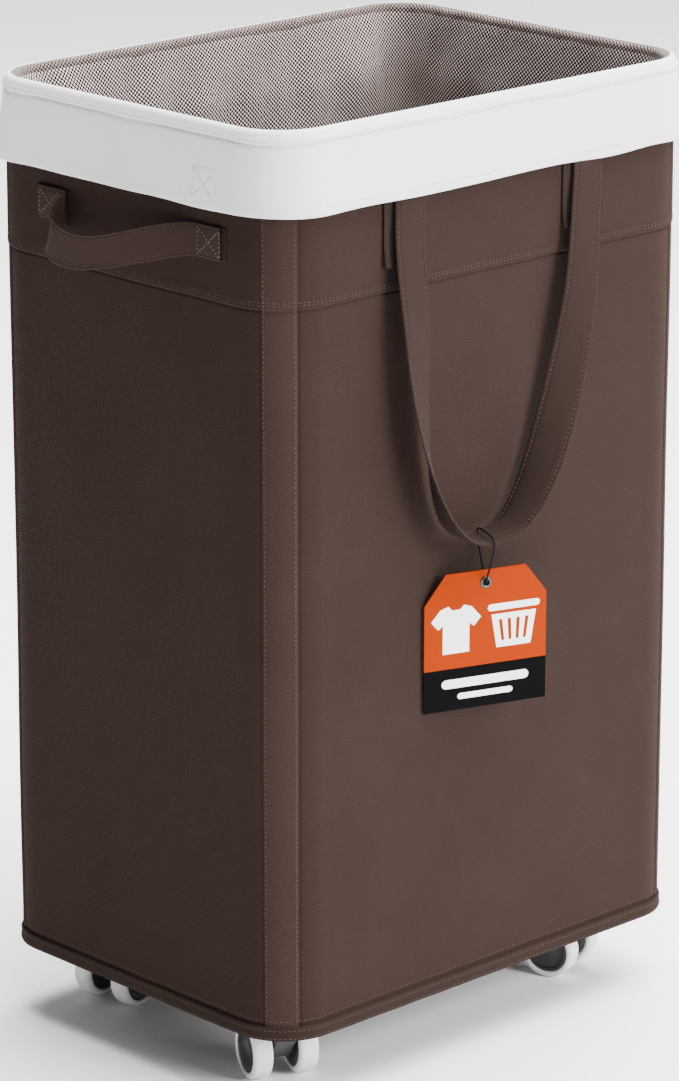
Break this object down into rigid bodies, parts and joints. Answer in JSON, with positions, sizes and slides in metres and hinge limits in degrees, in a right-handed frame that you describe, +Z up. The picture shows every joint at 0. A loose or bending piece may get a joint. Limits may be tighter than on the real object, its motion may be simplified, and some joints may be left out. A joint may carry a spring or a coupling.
{
  "type": "rolling laundry hamper",
  "caption": "Tall rectangular fabric laundry hamper with a lift-out mesh liner, carrying straps, side handles and twin-wheel swivel casters.",
  "frame": {"origin": "on the floor under the middle of the base", "axes": "+Z up, -Y towards the front with the tag, -X towards the left side handle"},
  "size_m": [0.471, 0.3627, 0.6875],
  "materials": {
    "shell_fabric": "brown twill oxford fabric, matt, with tonal topstitching",
    "webbing": "brown ribbon webbing of the same cloth, edge stitched",
    "base_fabric": "fabric-covered stiff board",
    "liner_mesh": "white honeycomb polyester mesh",
    "collar_fabric": "white woven polyester, hemmed",
    "steel_wire": "plain drawn wire",
    "black_plastic": "satin moulded plastic",
    "white_tyre": "smooth white tread",
    "tag_card": "printed coated card",
    "tag_string": "black waxed string"
  },
  "bodies": {
    "basket": {"front_panel": "shell_fabric", "back_panel": "shell_fabric", "left_panel": "shell_fabric", "right_panel": "shell_fabric", "corner_sleeve_rear_right": "shell_fabric", "corner_pole_rear_right": "steel_wire", "corner_sleeve_rear_left": "shell_fabric", "corner_pole_rear_left": "steel_wire", "corner_sleeve_front_left": "shell_fabric", "corner_pole_front_left": "steel_wire", "corner_sleeve_front_right": "shell_fabric", "corner_pole_front_right": "steel_wire", "rim_hem": "shell_fabric", "rim_wire": "steel_wire", "base_board": "base_fabric", "base_binding": "webbing", "front_strap_anchor_left": "webbing", "front_strap_anchor_right": "webbing", "back_strap_anchor_left": "webbing", "back_strap_anchor_right": "webbing", "left_handle_patch_front": "webbing", "left_handle_patch_rear": "webbing", "right_handle_patch_front": "webbing", "right_handle_patch_rear": "webbing", "caster_plate_rear_right": "black_plastic", "caster_plate_rear_left": "black_plastic", "caster_plate_front_left": "black_plastic", "caster_plate_front_right": "black_plastic"},
    "liner": {"liner_bag": "liner_mesh", "liner_collar": "collar_fabric"},
    "front_strap": {"front_strap": "webbing"},
    "back_strap": {"back_strap": "webbing"},
    "left_handle": {"left_handle": "webbing"},
    "right_handle": {"right_handle": "webbing"},
    "tag": {"hang_tag": "tag_card", "tag_string": "tag_string"},
    "caster_rear_right": {"caster_fork_rear_right": "black_plastic", "caster_axle_rear_right": "steel_wire"},
    "wheel_rear_right_a": {"tyre_rear_right_a": "white_tyre", "hub_rear_right_a": "black_plastic"},
    "wheel_rear_right_b": {"tyre_rear_right_b": "white_tyre", "hub_rear_right_b": "black_plastic"},
    "caster_rear_left": {"caster_fork_rear_left": "black_plastic", "caster_axle_rear_left": "steel_wire"},
    "wheel_rear_left_a": {"tyre_rear_left_a": "white_tyre", "hub_rear_left_a": "black_plastic"},
    "wheel_rear_left_b": {"tyre_rear_left_b": "white_tyre", "hub_rear_left_b": "black_plastic"},
    "caster_front_left": {"caster_fork_front_left": "black_plastic", "caster_axle_front_left": "steel_wire"},
    "wheel_front_left_a": {"tyre_front_left_a": "white_tyre", "hub_front_left_a": "black_plastic"},
    "wheel_front_left_b": {"tyre_front_left_b": "white_tyre", "hub_front_left_b": "black_plastic"},
    "caster_front_right": {"caster_fork_front_right": "black_plastic", "caster_axle_front_right": "steel_wire"},
    "wheel_front_right_a": {"tyre_front_right_a": "white_tyre", "hub_front_right_a": "black_plastic"},
    "wheel_front_right_b": {"tyre_front_right_b": "white_tyre", "hub_front_right_b": "black_plastic"}
  },
  "joints": [
    {"name": "liner_lift", "type": "slide", "parent": "basket", "child": "liner", "axis": [0, 0, 1], "range_m": [0, 0.65]},
    {"name": "front_strap_lift", "type": "hinge", "parent": "basket", "child": "front_strap", "pos_m": [0, -0.16, 0.625], "axis": [-1, 0, 0], "range_deg": [0, 120]},
    {"name": "back_strap_lift", "type": "hinge", "parent": "basket", "child": "back_strap", "pos_m": [0, 0.16, 0.625], "axis": [1, 0, 0], "range_deg": [0, 120]},
    {"name": "tag_swing", "type": "hinge", "parent": "front_strap", "child": "tag", "pos_m": [-0.024, -0.166, 0.385], "axis": [1, 0, 0], "range_deg": [0, 120], "deforming": ["tag_string"]},
    {"name": "left_handle_lift", "type": "hinge", "parent": "basket", "child": "left_handle", "pos_m": [-0.2019, 0, 0.619], "axis": [0, 1, 0], "range_deg": [0, 50]},
    {"name": "right_handle_lift", "type": "hinge", "parent": "basket", "child": "right_handle", "pos_m": [0.2019, 0, 0.619], "axis": [0, -1, 0], "range_deg": [0, 50]},
    {"name": "swivel_rear_right", "type": "hinge", "parent": "basket", "child": "caster_rear_right", "pos_m": [0.148, 0.096, 0.054], "axis": [0, 0, 1], "continuous": true},
    {"name": "spin_rear_right_a", "type": "hinge", "parent": "caster_rear_right", "child": "wheel_rear_right_a", "pos_m": [0.13651, 0.08636, 0.021], "axis": [-0.6428, 0.766, 0], "continuous": true},
    {"name": "spin_rear_right_b", "type": "hinge", "parent": "caster_rear_right", "child": "wheel_rear_right_b", "pos_m": [0.13651, 0.08636, 0.021], "axis": [-0.6428, 0.766, 0], "continuous": true},
    {"name": "swivel_rear_left", "type": "hinge", "parent": "basket", "child": "caster_rear_left", "pos_m": [-0.148, 0.096, 0.054], "axis": [0, 0, 1], "continuous": true},
    {"name": "spin_rear_left_a", "type": "hinge", "parent": "caster_rear_left", "child": "wheel_rear_left_a", "pos_m": [-0.13318, 0.09835, 0.021], "axis": [0.1564, -0.9877, 0], "continuous": true},
    {"name": "spin_rear_left_b", "type": "hinge", "parent": "caster_rear_left", "child": "wheel_rear_left_b", "pos_m": [-0.13318, 0.09835, 0.021], "axis": [0.1564, -0.9877, 0], "continuous": true},
    {"name": "swivel_front_left", "type": "hinge", "parent": "basket", "child": "caster_front_left", "pos_m": [-0.148, -0.096, 0.054], "axis": [0, 0, 1], "continuous": true},
    {"name": "spin_front_left_a", "type": "hinge", "parent": "caster_front_left", "child": "wheel_front_left_a", "pos_m": [-0.14238, -0.08209, 0.021], "axis": [0.9272, -0.3746, 0], "continuous": true},
    {"name": "spin_front_left_b", "type": "hinge", "parent": "caster_front_left", "child": "wheel_front_left_b", "pos_m": [-0.14238, -0.08209, 0.021], "axis": [0.9272, -0.3746, 0], "continuous": true},
    {"name": "swivel_front_right", "type": "hinge", "parent": "basket", "child": "caster_front_right", "pos_m": [0.148, -0.096, 0.054], "axis": [0, 0, 1], "continuous": true},
    {"name": "spin_front_right_a", "type": "hinge", "parent": "caster_front_right", "child": "wheel_front_right_a", "pos_m": [0.14312, -0.08182, 0.021], "axis": [0.9455, 0.3256, 0], "continuous": true},
    {"name": "spin_front_right_b", "type": "hinge", "parent": "caster_front_right", "child": "wheel_front_right_b", "pos_m": [0.14312, -0.08182, 0.021], "axis": [0.9455, 0.3256, 0], "continuous": true}
  ],
  "couplings": [
    {"joint": "tag_swing", "follows": "front_strap_lift", "ratio": 1}
  ]
}
